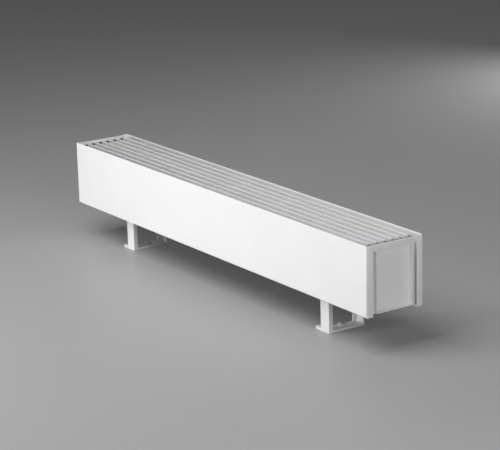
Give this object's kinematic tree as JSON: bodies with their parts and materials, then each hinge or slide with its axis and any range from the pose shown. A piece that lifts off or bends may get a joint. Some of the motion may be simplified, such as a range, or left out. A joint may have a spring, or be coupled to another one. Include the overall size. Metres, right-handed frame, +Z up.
{
  "type": "floor convector",
  "caption": "Long low floor convector: a folded white casing on short legs, a lift-out bar grille on top and a finned hot-water exchanger inside.",
  "frame": {"origin": "on the floor, under the middle of the casing's length and depth", "axes": "+X along the casing towards the end with the pipe connections, -Y towards the front, +Z up"},
  "size_m": [1, 0.125, 0.2],
  "materials": {
    "white_coat": "satin white powder coat",
    "bar_coat": "satin white powder coat on the grille bars",
    "zinc_sheet": "galvanised sheet with a fine spangle",
    "zinc_fasteners": "bright zinc plate",
    "bright_steel": "drawn bright steel",
    "black_rubber": "matt black rubber",
    "header_brass": "sand-cast brass, dull",
    "nickel_plate": "satin nickel plate on brass",
    "fin_aluminium": "thin rolled aluminium",
    "tube_copper": "drawn copper tube, slightly dulled",
    "bare_brass": "turned brass",
    "cap_plastic": "moulded white plastic"
  },
  "bodies": {
    "casing": {"front_panel": "white_coat", "rear_panel": "white_coat", "left_end_panel": "white_coat", "right_end_panel": "white_coat", "left_end_bracket": "white_coat", "right_end_bracket": "white_coat", "end_panel_nuts": "zinc_fasteners", "left_stay": "zinc_sheet", "right_stay": "zinc_sheet", "grille_strips": "black_rubber", "left_support": "zinc_sheet", "right_support": "zinc_sheet", "tube_grommets": "black_rubber", "water_tubes": "tube_copper", "exchanger_fins": "fin_aluminium", "left_header": "header_brass", "right_header": "header_brass", "drain_plug": "nickel_plate", "air_vent": "nickel_plate", "valve_insert": "nickel_plate", "left_foot_rail": "zinc_sheet", "right_foot_rail": "zinc_sheet", "left_leg": "white_coat", "right_leg": "white_coat", "levelling_screws": "zinc_fasteners", "levelling_nuts": "zinc_fasteners", "leg_bolts": "zinc_fasteners", "leg_nuts": "zinc_fasteners", "casing_screws": "zinc_fasteners"},
    "grille": {"grille_bar_1": "bar_coat", "grille_bar_2": "bar_coat", "grille_bar_3": "bar_coat", "grille_bar_4": "bar_coat", "grille_bar_5": "bar_coat", "grille_bar_6": "bar_coat", "grille_rods": "bright_steel", "grille_spacers": "bright_steel", "rod_clips": "zinc_fasteners", "grille_buffers": "black_rubber"},
    "vent_screw": {"vent_screw": "bare_brass"},
    "valve_cap": {"valve_cap": "cap_plastic"}
  },
  "joints": [
    {"name": "grille_lift", "type": "slide", "parent": "casing", "child": "grille", "axis": [0, 0, 1], "range_m": [0, 0.06]},
    {"name": "vent_turn", "type": "hinge", "parent": "casing", "child": "vent_screw", "pos_m": [-0.441, 0, 0.1445], "axis": [0, 0, 1], "range_deg": [0, 360]},
    {"name": "valve_turn", "type": "hinge", "parent": "casing", "child": "valve_cap", "pos_m": [0.441, -0.025, 0.1508], "axis": [0, 0, 1], "range_deg": [0, 360]}
  ]
}
